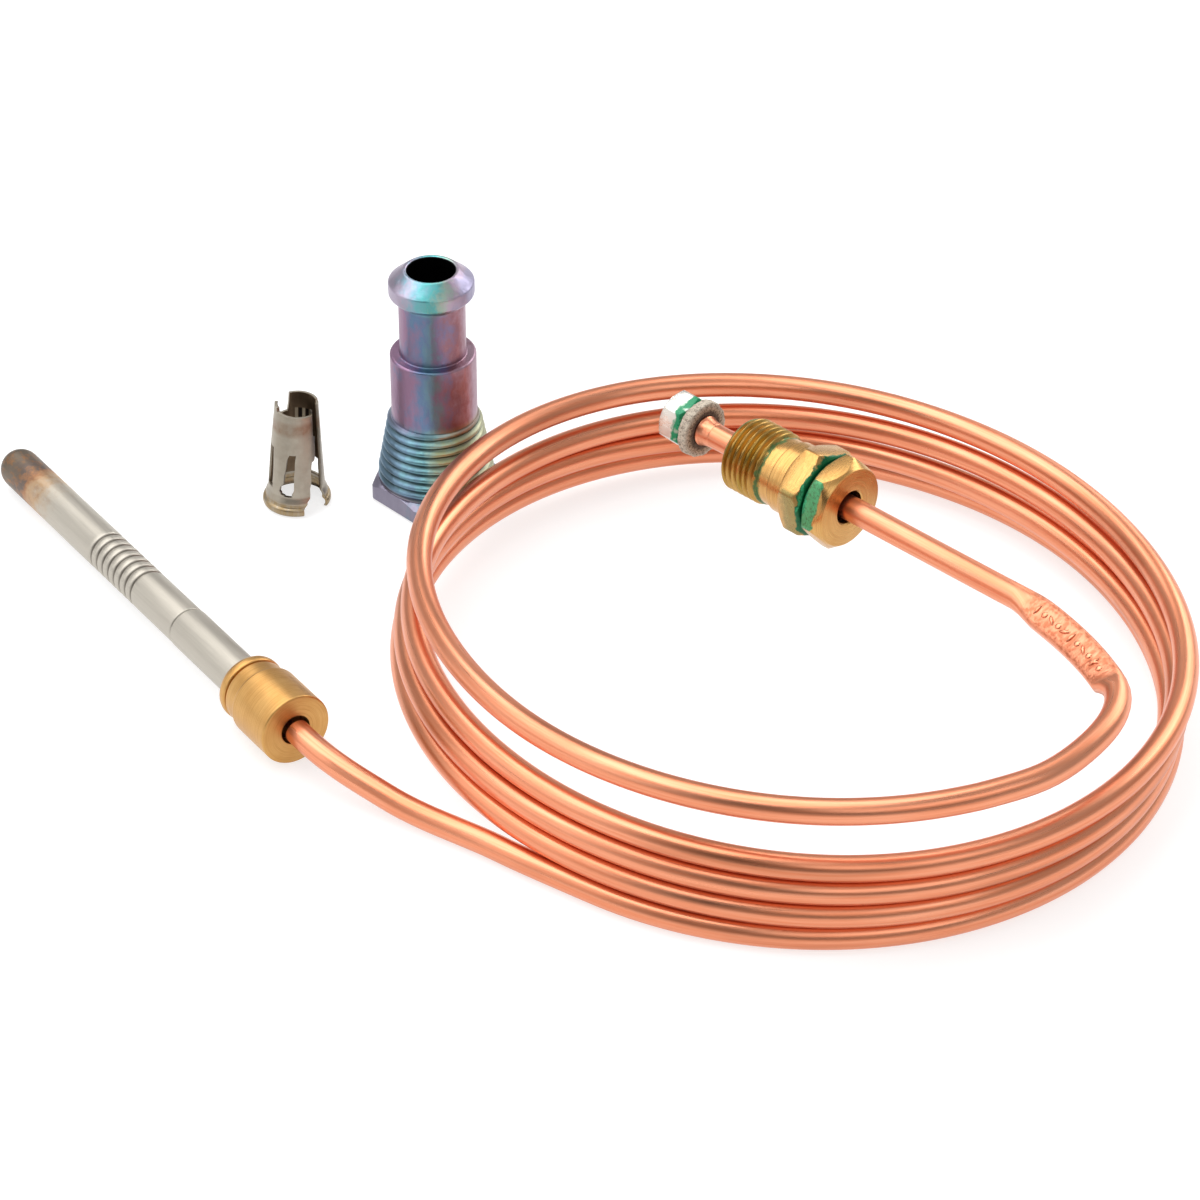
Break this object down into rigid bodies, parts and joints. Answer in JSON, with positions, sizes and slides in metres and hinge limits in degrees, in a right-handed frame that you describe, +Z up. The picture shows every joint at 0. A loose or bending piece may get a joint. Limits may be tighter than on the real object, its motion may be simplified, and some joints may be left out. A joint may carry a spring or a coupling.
{
  "type": "thermocouple",
  "caption": "Gas-safety thermocouple: grooved steel probe with brass sleeve, coiled copper lead, loose brass connector with washer and tinned contact, loose threaded adapter and spring clip",
  "frame": {"origin": "on the surface the parts lie on, under the middle of the box round the probe, the adapter and the clip", "axes": "+Z up; the probe points away from the viewer and to the left, in -X and +Y; the coil lies on the +X side"},
  "size_m": [0.1346, 0.0932, 0.03],
  "materials": {
    "stainless": "satin, heat tinted at the tip",
    "brass": "turned, bright",
    "copper": "bright drawn copper tube",
    "tin": "tinned",
    "fibre": "pressed fibre",
    "insulation": "matt",
    "constantan": "drawn",
    "chromate": "iridescent zinc chromate",
    "spring_steel": "nickel plated sheet"
  },
  "bodies": {
    "probe_and_lead": {"sheath_upper_tube": "stainless", "sheath_lower_tube": "stainless", "brass_sleeve": "brass", "cold_junction_bush": "brass", "cold_junction_weld": "tin", "hot_junction_weld": "stainless", "core_wire_probe_end": "copper", "inner_electrode": "constantan", "electrode_insulator_cold": "insulation", "electrode_insulator_hot": "insulation", "lead_probe_end": "copper", "lead_coil": "copper", "lead_last_turn": "copper", "lead_end_flare": "copper", "fibre_washer": "fibre", "contact_ferrule": "tin", "contact_insulator": "insulation", "contact_button": "tin", "core_wire_contact_end": "copper"},
    "connector": {"back_nut": "brass", "threaded_bush": "brass"},
    "adapter": {"threaded_adapter": "chromate"},
    "clip": {"spring_clip": "spring_steel"}
  },
  "joints": [
    {"name": "connector_slide", "type": "slide", "parent": "probe_and_lead", "child": "connector", "axis": [-0.7071, 0.7071, 0], "range_m": [-0.0195, 0.0047]},
    {"name": "adapter_lift", "type": "slide", "parent": "probe_and_lead", "child": "adapter", "axis": [0, 0, 1], "range_m": [0, 0.05]},
    {"name": "clip_lift", "type": "slide", "parent": "probe_and_lead", "child": "clip", "axis": [0, 0, 1], "range_m": [0, 0.05]}
  ]
}
